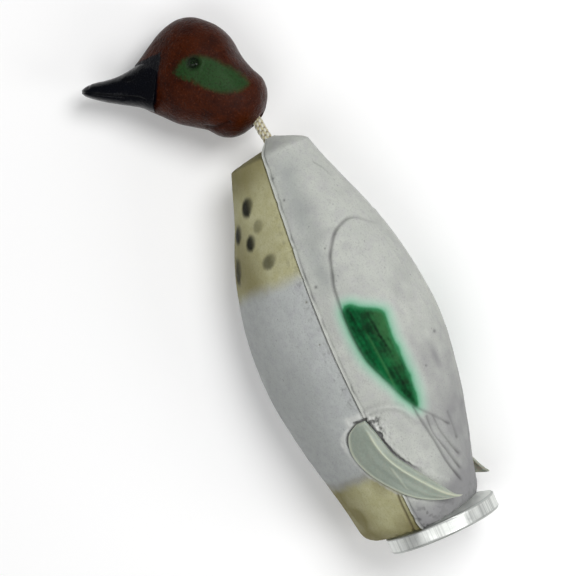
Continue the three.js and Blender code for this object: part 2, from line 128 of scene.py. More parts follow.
def to_path(back, rise, path):
    """Each point's distance to an open line, and how far along the line it is, 0 to 1."""
    path = np.array(path, float)
    best = np.full(back.shape, 1e9)
    along = np.zeros(back.shape)
    for k in range(len(path) - 1):
        a, d = path[k], path[k + 1] - path[k]
        t = np.clip(((back - a[0]) * d[0] + (rise - a[1]) * d[1]) / (d @ d), 0, 1)
        gap = np.hypot(back - a[0] - t * d[0], rise - a[1] - t * d[1])
        near = gap < best
        best = np.where(near, gap, best)
        along = np.where(near, (k + t) / (len(path) - 1), along)
    return best, along


def inside(back, rise, outline):
    """Signed distance into a closed outline, positive inside."""
    outline = np.array(outline, float)
    closed = np.vstack([outline, outline[:1]])
    gap, _ = to_path(back, rise, closed)
    odd = np.zeros(back.shape, bool)
    for (x0, y0), (x1, y1) in zip(closed[:-1], closed[1:]):
        if y0 == y1:
            continue
        crosses = (y0 > rise) != (y1 > rise)
        odd ^= crosses & (back < (x1 - x0) * (rise - y0) / (y1 - y0) + x0)
    return np.where(odd, gap, -gap)


def rounded(path, steps=5):
    """A finer, smooth version of a line of points."""
    path = np.array(path, float)
    table = [(k, *p) for k, p in enumerate(path)]
    at = np.linspace(0, len(path) - 1, (len(path) - 1) * steps + 1)
    return np.stack([hermite(table, 1, at), hermite(table, 2, at)], -1)


LATTICE = np.random.default_rng(7).random((64, 64, 64))


def grain(points, size):
    """Smooth random numbers from -1 to 1 that vary over a length of size, in mm."""
    p = np.asarray(points, float) / size + 1000.0
    cell = np.floor(p).astype(int)
    f = p - cell
    f = f * f * (3 - 2 * f)
    total = 0.0
    for corner in range(8):
        step = np.array([corner & 1, corner >> 1 & 1, corner >> 2 & 1])
        weight = np.prod(np.where(step, f, 1 - f), axis=-1)
        i, j, k = np.moveaxis((cell + step) % 64, -1, 0)
        total = total + weight * LATTICE[i, j, k]
    return 2 * total - 1


# --- mesh helpers ---

def mesh_piece(name, points, faces, marks):
    """A piece from row-frame points in metres, with one float attribute for each mark."""
    points = np.asarray(points, float)
    mesh = bpy.data.meshes.new(name)
    mesh.from_pydata(points.tolist(), [], faces)
    mesh.validate()
    for mark, values in marks.items():
        layer = mesh.attributes.new(mark, "FLOAT", "POINT")
        layer.data.foreach_set("value", np.asarray(values, np.float32))
    mesh.polygons.foreach_set("use_smooth", [True] * len(mesh.polygons))
    piece = bpy.data.objects.new(name, mesh)
    bpy.context.scene.collection.objects.link(piece)
    return piece


def skin(rings, caps="fan"):
    """Points and outward faces of closed rings of equal count, from front to back."""
    rings = np.asarray(rings, float)
    count = rings.shape[1]
    points = rings.reshape(-1, 3)
    near = np.arange(count)[None] + np.arange(rings.shape[0] - 1)[:, None] * count
    beside = np.roll(near, -1, 1)
    quads = np.stack([near, beside, beside + count, near + count], -1).reshape(-1, 4)
    extra = []
    for start, turned in ((0, True), (len(points) - count, False)):
        ring = np.arange(start, start + count)
        if caps == "fan":
            ends = [ring]
        else:
            ends = [ring[[i, i + 1, -2 - i, -1 - i]] for i in range(count // 2 - 1)]
        extra += [(end[::-1] if turned else end).tolist() for end in ends]
    return points, outward(points, quads, extra)


def outward(points, quads, extra=()):
    """All faces as lists, turned over if the quads enclose a negative volume."""
    a, b, c, d = (points[quads[:, k]] - points.mean(0) for k in range(4))
    volume = np.sum(a * np.cross(b, c)) + np.sum(a * np.cross(c, d))
    faces = quads.tolist() + list(extra)
    return [face[::-1] for face in faces] if volume < 0 else faces


def normals_of(grid, closed):
    """Unit normals of a grid of points, rows along the first axis."""
    along = np.gradient(grid, axis=0)
    if closed:
        around = (np.roll(grid, -1, 1) - np.roll(grid, 1, 1)) / 2
    else:
        around = np.gradient(grid, axis=1)
    normal = np.cross(around, along)
    length = np.linalg.norm(normal, axis=-1, keepdims=True)
    return normal / np.maximum(length, 1e-9)


def turned_out(normal, offset):
    """The normals, turned over where they point against the offset from the middle."""
    sign = np.sign(np.sum(normal * offset, -1, keepdims=True))
    return normal * np.where(sign == 0, 1, sign)


# --- body sections ---

BODY_LENGTH = 207.3
NOSE_ROUNDING = 9
NOSE_BLUNTNESS = 0.2
BELLY_SETBACK = 4.5
TAIL_ROUNDING = 7
GAP = 0.3
LIP_OUT = 1.08
BODY_STEP = 0.5
BODY_STATIONS = [  # back, half width, height of the upper half, height of the lower half
    [9, 18, 18.6, 25.6], [20, 21.5, 21.8, 30.2], [35, 26, 27.2, 36.4],
    [50, 30, 32.6, 43.6], [65, 34, 37, 49.3], [85, 37.6, 40.8, 54.2],
    [110, 40, 42.8, 56.8], [132, 39.2, 40.8, 55.6], [155, 37, 36.2, 51.8],
    [172, 35.2, 31.2, 47.8], [185, 33.8, 27.1, 44.9], [207.3, 32, 20.8, 41.2],
]
HALVES = {  # side: back at the nose, power of the section, its column, typical height, points round
    1: (0, 2.1, 2, 43, 270),
    -1: (BELLY_SETBACK, 1.65, 3, 56, 310),
}
ROPE_ROOM = 3.3
TUBE_ROOM = 12.3
TUBE_LENGTH = 97.3
FLANGE_RIM = 8.4
TUBE_FRONT = BODY_LENGTH + FLANGE_RIM - TUBE_LENGTH
FLANGE_SEAT = [(5.3, 17.5), (2.8, 20.3)]  # distance from the tail, radius

# Lines on the left flank, as back and rise.
WING_EDGE = [(60.8, 31.1), (55.9, 26.2), (53.1, 22), (52.3, 18.5), (53.6, 14.1), (55.8, 10.3),
             (59.3, 7.1), (64.3, 3.7), (68.9, 1.7), (75.2, -0.1), (79.9, -1.7), (86.7, -2.6),
             (94.1, -3.2), (106.6, -3.4), (119.3, -2.1), (129.7, 1.5), (136.4, 3.9), (143.8, 7.1),
             (149.1, 10.2)]
WING_CLOSING = [(166.6, 23.8), (160, 38), (120, 60), (66, 52)]
PATCH = [(90.4, -0.5), (90.9, 2.4), (93.2, 5.4), (95.8, 9.4), (98.2, 13.6), (101.2, 16.1),
         (104.6, 16.2), (111.3, 15.3), (120.5, 15), (129.9, 15.1), (138.4, 14.5), (145.6, 13.5),
         (149.7, 12.7), (150.4, 10.7), (142.5, 6.6), (136.8, 4.8), (131.9, 2.7), (124.4, -0.5),
         (116.9, -2.6), (107.1, -3.6), (98.4, -3.5), (93.2, -2.8)]
PATCH_RIDGE = [(100.4, 3.3), (115.7, 4.5), (129.8, 5.3), (138.1, 5.3)]
PATCH_STREAKS = [
    [(111.6, 13.5), (125.5, 13.8), (139.1, 13.7), (148.4, 12.2)],
    [(96.5, 6.0), (106, 8.6), (122, 9.6), (141, 9.4), (149, 10.6)],
]
FEATHERS = [
    [(149.6, 10), (155.8, 10.5), (170, 12.8), (181.6, 14.1), (195.8, 17.5)],
    [(156.7, 14.1), (165.7, 13.7), (176, 16.3), (190.2, 19.4)],
    [(158.1, 17.1), (167.4, 17.5), (183.1, 21.8)],
    [(159.7, 24.6), (166, 24.4), (174.8, 23.7)],
    [(149.4, 10.4), (152.5, 12.8), (159, 18.2), (166.6, 23.8)],
]
TAIL_GROOVE = [(184.5, -14.6), (190, -15.2), (196.3, -15.1), (207, -14.9)]
ROOT_FOLD = [(143, -12.4), (142.9, -6.2), (144.8, -0.2), (148.8, 4.9), (156, 8.5)]
SCRATCH = [(20.2, 15.5), (24.5, 18.6), (29.7, 20.6)]
BACK_RIDGE = [(62, 5.4), (80, 6.5), (99, 6.8), (114, 4.6), (124, 3)]  # back, sideways
SPOTS = [  # back, rise, half length along and across, strength
    (27.5, -24, 4.3, 4.7, 1.0), (38, -22.8, 3, 3.6, 0.4), (37.9, -33.7, 4.5, 4.6, 1.0),
    (44.7, -29.7, 3.8, 4.3, 1.0), (56.2, -25, 3.3, 4.6, 0.7), (54.8, -41.4, 6, 4.6, 0.85),
]
DENTS = [  # back, rise, radius, depth; negative depth is a crumb that stands proud
    (42.5, 14.8, 1.6, -0.5), (31.6, -9.4, 1.3, 0.7), (54.5, -13, 1.5, 0.7), (70.3, -13.4, 1.2, 0.5),
    (19.7, -5.1, 1.6, -0.5), (121.5, 13.2, 2.2, 0.4), (52.5, 41, 1.5, -0.4),
]
PITS = [  # back, rise, radius
    (31.3, -6.0, 0.6), (54.6, -11.4, 0.6), (76.4, -9.6, 0.8), (81.4, -16.7, 0.55),
    (120.9, 35.1, 0.8), (19.4, -6.4, 0.5), (61, 2.5, 0.4), (134, 24, 0.5), (103, -19.5, 0.4),
]


def nose_and_tail(back, start):
    """How far the section shrinks where the nose and the tail are rounded off, 0 to 1."""
    front = np.clip((back - start) / (NOSE_ROUNDING - start), 0, 1)
    k = NOSE_BLUNTNESS + (1 - NOSE_BLUNTNESS) * np.sin(front * math.pi / 2) ** 1.25
    past = np.clip((back - BODY_LENGTH + TAIL_ROUNDING) / TAIL_ROUNDING, 0, 1)
    return k * (1 - 0.17 * (1 - np.sqrt(1 - past ** 2)))


FOOT_STATIONS = [  # back, then y and z of the low edge, the crest and the high edge
    [146.2, 36.4, -6, 37.6, -3, 37.4, -0.8], [149.5, 34.8, -12.2, 38, -2, 37.2, 0.4],
    [154, 33.8, -15.2, 38.2, -1, 37, 1.8], [160, 33.4, -16.2, 38.4, 0, 36.6, 3.2],
    [167, 33.6, -14.4, 38.2, 2.2, 35.8, 5], [174, 34.1, -10.6, 37.4, 5.6, 34.4, 8.8],
    [181, 34.6, -5, 35.8, 10, 32.4, 13], [188, 34.4, 1.4, 33.2, 14.6, 30, 17.3],
    [193.5, 32.4, 8.4, 30.4, 18.4, 28.2, 20.5], [197.5, 29, 16.4, 27.6, 22, 26.8, 23.2],
    [199.5, 25.6, 24.2, 25.2, 25, 24.8, 25.6],
]
FOOT_THICKNESS = 1.6
FOOT_ROUNDNESS = 0.75
FOOT_BOW = 2.6
FOOT_CREST = 0.8  # the crest's place between the low and the high edge


def foot_outline(back):
    """Low, crest and high points of the foot's outside at each distance back: six columns."""
    return np.stack([hermite(FOOT_STATIONS, c, back) for c in range(1, 7)], -1)


def foot_cover(back, z):
    """How far in from the foot's edge each flank point lies, and the foot's inner y there."""
    low_y, low_z, mid_y, mid_z, top_y, top_z = np.moveaxis(foot_outline(back), -1, 0)
    below = np.clip((z - low_z) / np.maximum(mid_z - low_z, 0.3), 0, 1)
    above = np.clip((z - mid_z) / np.maximum(top_z - mid_z, 0.3), 0, 1)
    outer = np.where(z < mid_z, low_y + (mid_y - low_y) * below + FOOT_BOW * below * (1 - below),
                     mid_y + (top_y - mid_y) * above)
    margin = np.minimum(np.minimum(z - low_z, top_z - z) * 0.9,
                        np.minimum(back - FOOT_STATIONS[0][0], FOOT_STATIONS[-1][0] - back))
    return margin, outer - FOOT_THICKNESS


def body_half(side):
    """One foam half: its points, faces and paint marks."""
    start, power, column, typical, count = HALVES[side]
    backs = np.concatenate([
        start + (NOSE_ROUNDING - start) * np.linspace(0, 1, 22) ** 1.3,
        np.arange(NOSE_ROUNDING + BODY_STEP, BODY_LENGTH - TAIL_ROUNDING, BODY_STEP),
        BODY_LENGTH - TAIL_ROUNDING * np.cos(np.linspace(0, math.pi / 2, 16)),
    ])
    at = np.maximum(backs, NOSE_ROUNDING)
    scale = nose_and_tail(backs, start)[:, None]
    width = hermite(BODY_STATIONS, 1, at)[:, None] * scale
    height = hermite(BODY_STATIONS, column, at)[:, None] * scale

    # Angles that give even steps round a middle section.
    fine = np.linspace(0, math.pi, 6001)
    flat = np.stack([40 * np.sign(np.cos(fine)) * np.abs(np.cos(fine)) ** (2 / power),
                     typical * np.abs(np.sin(fine)) ** (2 / power)], -1)
    run = np.concatenate([[0], np.cumsum(np.linalg.norm(np.diff(flat, axis=0), axis=1))])
    angle = np.interp(np.linspace(0, run[-1], count), run, fine)
    c, s = np.cos(angle), np.sin(angle)
    y = width * np.sign(c) * np.abs(c) ** (2 / power)
    z = height * np.abs(s) ** (2 / power)
    back = backs[:, None] + 0 * y
    grid = np.stack([-back, y, side * z], -1)
    middle = np.array([0, 0, side * 0.4]) * height[..., None]
    normal = turned_out(normals_of(grid, False), grid * [0, 1, 1] - middle)

    rise = side * z * math.cos(FLANK_TILT) - np.abs(y) * math.sin(FLANK_TILT)
    left = y > 0
    flank = np.abs(y) > 20
    rough = grain(grid, 0.9)
    lumps = grain(grid, 5)
    lift = 0.05 * rough + 0.10 * lumps + 0.12 * grain(grid, 14)

    marks = {}
    zero = np.zeros(y.shape)
    if side > 0:
        height_up = z / scale + 0.22 * lumps + 0.12 * grain(grid, 1.8)
        lip = 1 - smooth(0.4, 1.0, height_up)
        lift += LIP_OUT * lip * scale
        marks["lip"] = lip
        # Painted shade: a dark line just under the seam lip, where the lip shades the foam.
        shade_under_lip = bell(height_up - 1.2, 0.38)
        lift -= 0.3 * shade_under_lip
        marks["shade_under_lip"] = np.clip(shade_under_lip * (0.6 + 0.7 * lumps), 0, 1)
        # Painted shade: the slight hollow by the seam near the nose is painted darker as well.
        hollow = bell(z - 9, 6.5) * between(6, 20, 62, 98, back)
        lift -= 0.9 * hollow
        marks["hollow"] = hollow * (0.8 + 0.3 * grain(grid, 9))
    else:
        groove = 1 - smooth(0.25, 1.5, z + 0.3 * lumps)
        crumbs = smooth(0.2, 0.6, grain(grid, 2.0) + 0.3 * rough) * bell(z - 3.8, 2.4)
        busy = 0.35 * bell(back - 70, 40) + bell(back - 122, 13)
        lift = lift - 0.9 * groove - 0.8 * crumbs * np.clip(busy, 0, 1)
        lift += 0.35 * np.clip(busy, 0, 1) * bell(z - 3.8, 3) * grain(grid, 1.3)
        marks["crumbs"] = crumbs * np.clip(busy, 0.1, 1)

    for b0, r0, radius, depth in DENTS:
        lift -= depth * bell(back - b0, radius) * bell(rise - r0, radius) * left

    # The line mark is painted shade: it darkens the cut grooves and their ends, the pits, the foot
    # of the root fold and, on the belly, the seam groove and the tail groove. Along the scratch it
    # is also the scratch's own mark.
    line = zero
    if side > 0:
        edge, where = to_path(back, rise, rounded(WING_EDGE))
        wing = inside(back, rise, [*rounded(WING_EDGE, 3), *WING_CLOSING])
        fade = (0.2 + 0.8 * smooth(0.0, 0.22, where)) * (1 - smooth(0.55, 0.9, where) * 0.45)
        wobble = 0.85 + 0.3 * lumps
        cut = bell(edge, 0.75) * fade * wobble
        lift -= 0.75 * cut
        bulge = between(0, 1.4, 5, 22, edge) * (1 - smooth(138, 165, back))
        lift += 0.8 * (wing > 0) * bulge * smooth(0.02, 0.14, where)
        line = np.maximum(line, 0.8 * cut)
        ridge, _ = to_path(back, np.abs(y), BACK_RIDGE)
        top = (z > height * 0.7) * between(60, 66, 112, 124, back)
        lift -= 0.55 * bell(ridge, 0.8) * top
        lift -= 0.45 * (1 - smooth(3.5, 6.5, np.abs(y))) * top
        for k, path in enumerate(FEATHERS):
            gap, along = to_path(back, rise, rounded(path))
            deep = (0.75, 0.6, 0.5, 0.45, 0.55)[k] * (1 - smooth(0.93, 1.0, along))
            cut = bell(gap, 0.6) * deep
            lift -= 0.85 * cut
            tip = bell(along - 0.93, 0.07)
            line = np.maximum(line, np.clip(cut * (1 + 0.9 * tip), 0, 1))
        gap, along = to_path(back, rise, SCRATCH)
        cut = bell(gap, 0.45) * left * (1 - 0.6 * along)
        lift -= 0.35 * cut
        line = np.maximum(line, 0.45 * cut)
        strips = between(152, 160, 178, 196, back)
        strip = np.clip((rise - 10.5 - 0.12 * (back - 150)) / 3.6, 0, 3)
        lift += 0.25 * strips * np.sin(strip * 2 * math.pi)
        patch = inside(back, rise, rounded(PATCH + PATCH[:1], 3)[:-1])
        ragged = patch + 0.35 * grain(grid, 2.4) + 0.2 * rough
        marks["patch"] = smooth(-0.7, 2.6, ragged)
        marks["olive"] = (0.7 * smooth(4, 14, rise + 1.6 * lumps) * smooth(90, 101, back)
                          * (1 - 0.85 * smooth(112, 140, back)))
        marks["halo"] = 1 - np.clip((-patch + 0.6 * lumps + 0.4) / 7.2, 0, 1) ** 0.8
        streak = zero
        for path in PATCH_STREAKS:
            gap, along = to_path(back, rise, rounded(path))
            ends = between(0, 0.1, 0.9, 1, along)
            streak = np.maximum(streak, bell(gap, 1.3) * (0.15 + 0.85 * ends))
        gap, along = to_path(back, rise, rounded(PATCH_RIDGE))
        ridge = bell(gap, 0.6) * smooth(0, 0.3, along)
        lift += 0.25 * ridge
        marks["olive"] = np.clip(marks["olive"] + 0.55 * ridge, 0, 1)
        veins = np.sin(rise * 2.6 - back * 0.32 + 1.2 * lumps) * smooth(0.5, 3, patch)
        lift = lift - 0.4 * streak + 0.10 * veins
        mottle = 0.4 * grain(grid * [0.4, 1, 1], 2.6) + 0.25 * grain(grid, 1.2)
        marks["streak"] = np.clip(0.42 * streak + 0.22 * veins + 1.3 * mottle - 0.5 * ridge, 0, 1)
        curve, _ = to_path(back, rise, rounded(ROOT_FOLD))
        root = bell(back - 150.3, 5.5) * bell(rise + 10.6, 3.8)
        broken = grain(grid, 1.7) + 0.5 * grain(grid, 0.8)
        curl = bell(curve, 1.3)
        lift += 0.8 * curl + 1.3 * root * np.clip(broken, -1, 1)
        line = np.maximum(line, 0.22 * bell(curve - 1.8, 1.1) * (rise < 6))
        torn = smooth(0.1, 0.6, broken) * between(194, 199, 204.5, 206.5, back)
        torn = torn * (0.35 + 0.65 * smooth(4, -10, rise))
        lift -= 0.5 * torn
        marks["crumbs"] = np.clip(root * smooth(-0.1, -0.6, broken) * 1.4 + 0.6 * torn, 0, 1)
        chalk = root * smooth(0.1, 0.5, broken)
        marks["chalk"] = np.clip(chalk * 1.3 + 0.12 * curl, 0, 1)
        # The wear mark here is mostly painted shade: it darkens the flank towards the dorsal side
        # and the tail, where the surface turns away from the lights. A darker band at the tail,
        # random clouds and one scuff come on top.
        dorsal_shade = smooth(95, 180, back) * smooth(2, 26, rise)
        tail_darkening = smooth(186, 203, back) * (1.2 + 0.3 * grain(grid, 6))
        cloudy = 0.25 * grain(grid, 16) + 0.2 * lumps
        scuff = bell(back - 132, 6) * bell(rise - 30.3, 1.8)
        marks["wear_and_shade"] = np.clip(0.9 * dorsal_shade + tail_darkening + cloudy + 0.45 * scuff, 0, 1)
    else:
        gap, along = to_path(back, rise, rounded(TAIL_GROOVE))
        cut = bell(gap, 0.6) * smooth(0, 0.15, along)
        lift -= 0.6 * cut
        line = np.maximum(line, cut)
        wander = 0.9 * grain(grid, 12) + 0.5 * grain(grid, 3)
        breast = 1 - smooth(64, 72.5, back + wander)
        tail = smooth(170.5, 178.5, back + 2.2 * wander)
        # The wear mark here is partly painted shade: the belly darkens towards its outer edge,
        # which turns away from the lights. It also darkens near the nose, over the rear half and at
        # the tail, with random clouds.
        edges = smooth(24, 42, -rise)
        belly_darkening = 0.8 * (1 - smooth(6, 34, back)) + 0.5 * smooth(90, 165, back) * (1 - tail)
        tail_darkening = 0.15 + 0.4 * smooth(0.0, 0.6, grain(grid, 10)) + 0.5 * smooth(198, 206, back)
        wear_and_shade = belly_darkening + tail * tail_darkening + 0.75 * edges + 0.3 * grain(grid, 14)
        marks["wear_and_shade"] = np.clip(wear_and_shade, 0, 1)
        marks["buff"] = np.maximum(breast, tail)
        marks["dirt"] = bell(back - 172.5 + 1.5 * wander, 2.2)
        spots = zero
        for b0, r0, along_half, across_half, strength in SPOTS:
            nearest = np.argmin((back - b0) ** 2 + (rise - r0) ** 2 + 1e3 * ~left)
            offset = np.abs(grid) - np.abs(grid.reshape(-1, 3)[nearest])
            along = offset[..., 0]
            across = np.hypot(offset[..., 1], offset[..., 2]) * np.sign(offset[..., 2])
            reach = (along / along_half) ** 2 + ((across - along * 0.25) / across_half) ** 2
            core = 1 - 0.45 * smooth(-0.1, 1.3, -across / across_half)
            spot = strength * core * (1 - smooth(0.35, 1.7, reach + 0.3 * lumps))
            spots = np.maximum(spots, spot)
        marks["spots"] = spots
        line = np.maximum(line, 0.6 * (1 - smooth(0.3, 1.3, z + 0.3 * lumps)))
    for b0, r0, radius in PITS:
        hole = bell(back - b0, radius) * bell(rise - r0, radius) * left
        lift -= 0.4 * hole
        line = np.maximum(line, hole)
    marks["line"] = line

    # Room for the foot: the skin drops below the foot's inner face, with a crumbly rim.
    margin, inner_y = foot_cover(back, side * z)
    front = 1 - smooth(150, 163, back)
    dorsal = (side > 0) * between(150, 156, 176, 188, back)
    base_room, front_room, ragged_room = (0.7, 0.9, 0.65) if side > 0 else (0.3, 1.3, 0.3)
    room = margin + 0.8 * dorsal + base_room + front_room * front + ragged_room * grain(grid, 1.5)
    pocket = smooth(0, 0.9, room) * flank
    rim = bell(room + 0.9 + 0.4 * front, 0.9 + 0.5 * front) * flank
    lift += (0.35 + 0.5 * dorsal) * rim * grain(grid, 1.4)
    marks["rim"] = np.clip(rim * (0.6 + 0.9 * front) * (1 + 0.4 * grain(grid, 1.5)), 0, 1)
    # The mouth is worn where the rope leans on it.
    lift -= 0.7 * bell(back, 2.2) * smooth(0, -3, y) * (1 - smooth(3, 5.5, z))

    grid = grid + normal * lift[..., None]
    depth = np.maximum(np.abs(grid[..., 1]) - (inner_y - 0.5), 0) * pocket
    shaded = 1 if side > 0 else 0.35 + 0.65 * front
    # The pocket mark is painted shade in the recess under the foot, fading towards the tail.
    marks["pocket"] = pocket * smooth(0.1, 1.1, depth) * shaded * (1 - 0.8 * smooth(172, 182, back))
    grid[..., 1] -= np.sign(grid[..., 1]) * depth
    crumble = smooth(0.2, 0.6, grain(grid, 1.6)) * (1 - smooth(0, 2.6, BODY_LENGTH - back))
    grid = grid - normal * (0.8 * crumble)[..., None]
    grid[..., 2] = side * np.maximum(side * grid[..., 2], GAP / 2)

    # The flank that the body lies on is pressed flat.
    low = NOSE[2] + grid @ BODY_AXES[:, 2]
    press = np.maximum(0.03 - low, 0)
    grid = grid + press[..., None] * BODY_AXES[:, 2]

    # Inside: the flat seam face and the channel for the tube and the rope.
    channel = np.where(backs[:, None] > TUBE_FRONT - 0.2, TUBE_ROOM, ROPE_ROOM)
    for depth, radius in FLANGE_SEAT:
        channel = np.where(BODY_LENGTH - backs[:, None] < depth, radius, channel)
    channel = np.minimum(channel, 0.8 * np.minimum(width, height))
    third = count // 3
    turn = np.linspace(0, math.pi, count - 2 * third)
    inner = np.empty_like(grid)
    inner[..., 0] = -back
    inner[..., 2] = side * GAP / 2
    first, last = grid[:, :1, 1], grid[:, -1:, 1]
    inner[:, :third, 1] = first + (channel - first) * np.linspace(0, 1, third, endpoint=False)
    inner[:, third:-third, 1] = channel * np.cos(turn)
    inner[:, third:-third, 2] = side * np.maximum(channel * np.sin(turn), GAP / 2)
    inner[:, -third:, 1] = -channel + (last + channel) * np.linspace(0, 1, third + 1)[1:]
    inner[:, [0, -1]] = grid[:, [0, -1]] * [1, 0.9995, 1]

    points, faces = skin(from_body(np.concatenate([grid, inner[:, ::-1]], 1)), caps="band")
    return points, faces, {name: np.concatenate([value + zero, zero], 1).ravel()
                           for name, value in marks.items()}


# --- material helpers ---

def tone(r, g, b):
    """A colour given as 0 to 255 steps of a screen, as the linear values that shaders take."""
    linear = [v / 255 / 12.92 if v <= 10 else ((v / 255 + 0.055) / 1.055) ** 2.4 for v in (r, g, b)]
    return (*linear, 1.0)


class Look:
    """A material with a few shorthand calls for its node tree."""

    def __init__(self, name, rough=0.6, **sockets):
        self.material = bpy.data.materials.new(name)
        self.material.use_nodes = True
        self.tree = self.material.node_tree
        self.shader = self.tree.nodes["Principled BSDF"]
        self.shader.inputs["Roughness"].default_value = rough
        for socket, value in sockets.items():
            self.shader.inputs[socket.replace("_", " ")].default_value = value
        self.place = self.tree.nodes.new("ShaderNodeTexCoord").outputs["Object"]

    def node(self, kind, **settings):
        made = self.tree.nodes.new("ShaderNode" + kind)
        for key, value in settings.items():
            setattr(made, key, value)
        return made

    def link(self, source, target):
        """Feeds a target socket from a socket, a number or a colour in 0 to 255 steps."""
        if isinstance(source, (int, float)):
            target.default_value = source
        elif isinstance(source, tuple):
            target.default_value = tone(*source)
        else:
            self.tree.links.new(source, target)

    def stretched(self, *scale):
        mapping = self.node("Mapping")
        mapping.inputs["Scale"].default_value = scale
        self.link(self.place, mapping.inputs["Vector"])
        return mapping.outputs["Vector"]

    def noise(self, size, detail=3.0, rough=0.55, place=None):
        made = self.node("TexNoise")
        made.inputs["Scale"].default_value = 1 / (size * MM)
        made.inputs["Detail"].default_value = detail
        made.inputs["Roughness"].default_value = rough
        self.link(place or self.place, made.inputs["Vector"])
        return made.outputs["Fac"]

    def cells(self, size):
        made = self.node("TexVoronoi")
        made.inputs["Scale"].default_value = 1 / (size * MM)
        self.link(self.place, made.inputs["Vector"])
        return made.outputs["Distance"]

    def ramp(self, factor, *stops):
        made = self.node("ValToRGB")
        ramp = made.color_ramp
        while len(ramp.elements) < len(stops):
            ramp.elements.new(0.5)
        for element, (position, colour) in zip(ramp.elements, stops):
            element.position = position
            grey = (colour, colour, colour, 1)
            element.color = tone(*colour) if isinstance(colour, tuple) else grey
        self.link(factor, made.inputs["Fac"])
        return made.outputs["Color"]

    def mix(self, factor, a, b):
        made = self.node("Mix", data_type="RGBA")
        self.link(factor, made.inputs[0])
        self.link(a, made.inputs[6])
        self.link(b, made.inputs[7])
        return made.outputs[2]

    def mark(self, name):
        return self.node("Attribute", attribute_name=name).outputs["Fac"]

    def over(self, base, *layers):
        """Layers are (mark, share, colour): the colour goes over the base where the mark is."""
        for name, share, colour in layers:
            mark = self.mark(name)
            made = self.node("Math", operation="MULTIPLY")
            self.link(mark, made.inputs[0])
            self.link(share, made.inputs[1])
            base = self.mix(made.outputs[0], base, colour)
        return base

    def colour(self, source):
        self.link(source, self.shader.inputs["Base Color"])

    def roughness(self, low, high, factor):
        self.link(self.ramp(factor, (0.3, low), (0.7, high)), self.shader.inputs["Roughness"])

    def bumps(self, *layers):
        """Layers are (height, depth in mm)."""
        normal = None
        for height, depth in layers:
            made = self.node("Bump")
            made.inputs["Strength"].default_value = 1
            made.inputs["Distance"].default_value = depth * MM
            self.link(height, made.inputs["Height"])
            if normal:
                self.link(normal, made.inputs["Normal"])
            normal = made.outputs["Normal"]
        self.link(normal, self.shader.inputs["Normal"])


def give(piece, look):
    piece.data.materials.clear()
    piece.data.materials.append(look.material)


def foam_look(name, light, dark, cool):
    """Closed-cell foam with a moulded skin: faint mottling, pores and a soft sheen."""
    look = Look(name, 0.62, Specular_IOR_Level=0.08)
    broad = look.noise(22, 5, 0.6)
    middling = look.noise(4.5, 4, 0.6)
    fine = look.noise(0.8, 3, 0.6)
    base = look.mix(look.ramp(broad, (0.35, 0.0), (0.65, 1.0)), dark, light)
    base = look.mix(look.ramp(middling, (0.46, 0.0), (0.68, 0.5)), base, cool)
    base = look.mix(look.ramp(fine, (0.30, 0.45), (0.48, 0.0)), base, (138, 137, 138))
    specks = look.ramp(look.noise(1.7, 2, 0.5), (0.70, 0.0), (0.76, 0.6))
    base = look.mix(specks, base, (126, 124, 126))
    look.fine, look.middling = fine, middling
    pores = look.ramp(look.cells(1.1), (0.0, 0.0), (0.25, 1.0))
    look.bumps((pores, 0.06), (fine, 0.14), (middling, 0.35))
    look.roughness(0.5, 0.75, middling)
    return look, base


def back_look():
    look, base = foam_look("grey_foam_back", (184, 187, 180), (175, 178, 172),
                           (171, 170, 171))
    # Painted shade goes on here: towards the dorsal side and the tail with the wear layer, in the
    # hollow by the seam, and under the seam lip.
    base = look.over(base, ("wear_and_shade", 0.95, (134, 134, 135)), ("hollow", 0.5, (138, 143, 142)),
                     ("shade_under_lip", 0.9, (104, 106, 104)))
    teal = look.ramp(look.mark("halo"), (0.0, (180, 192, 184)), (0.5, (146, 188, 166)),
                     (0.82, (98, 166, 132)), (1.0, (52, 126, 84)))
    base = look.mix(look.ramp(look.mark("halo"), (0.0, 0.0), (0.45, 0.55), (1.0, 1.0)), base, teal)
    deep = look.mix(look.ramp(look.noise(7, 4), (0.38, 0.0), (0.62, 1.0)), (0, 42, 18),
                    (0, 84, 42))
    olive = look.mix(look.noise(3.2, 4), (36, 92, 50), (70, 118, 72))
    core = look.mix(look.mark("olive"), deep, olive)
    core = look.mix(look.mark("streak"), core, (0, 22, 8))
    base = look.mix(look.mark("patch"), base, core)
    # Painted shade in the grooves and pits.
    base = look.over(base, ("line", 0.75, (92, 91, 92)))
    # The seam lip is painted paler: a painted highlight on the lit ridge.
    pale = look.mix(look.middling, (176, 180, 172), (196, 198, 190))
    base = look.over(base, ("lip", 0.5, pale), ("rim", 0.35, (196, 197, 193)),
                     # painted shade in the foot's recess
                     ("pocket", 0.75, (104, 102, 106)), ("crumbs", 0.8, (84, 84, 84)),
                     ("chalk", 0.7, (208, 209, 206)))
    look.colour(base)
    return look


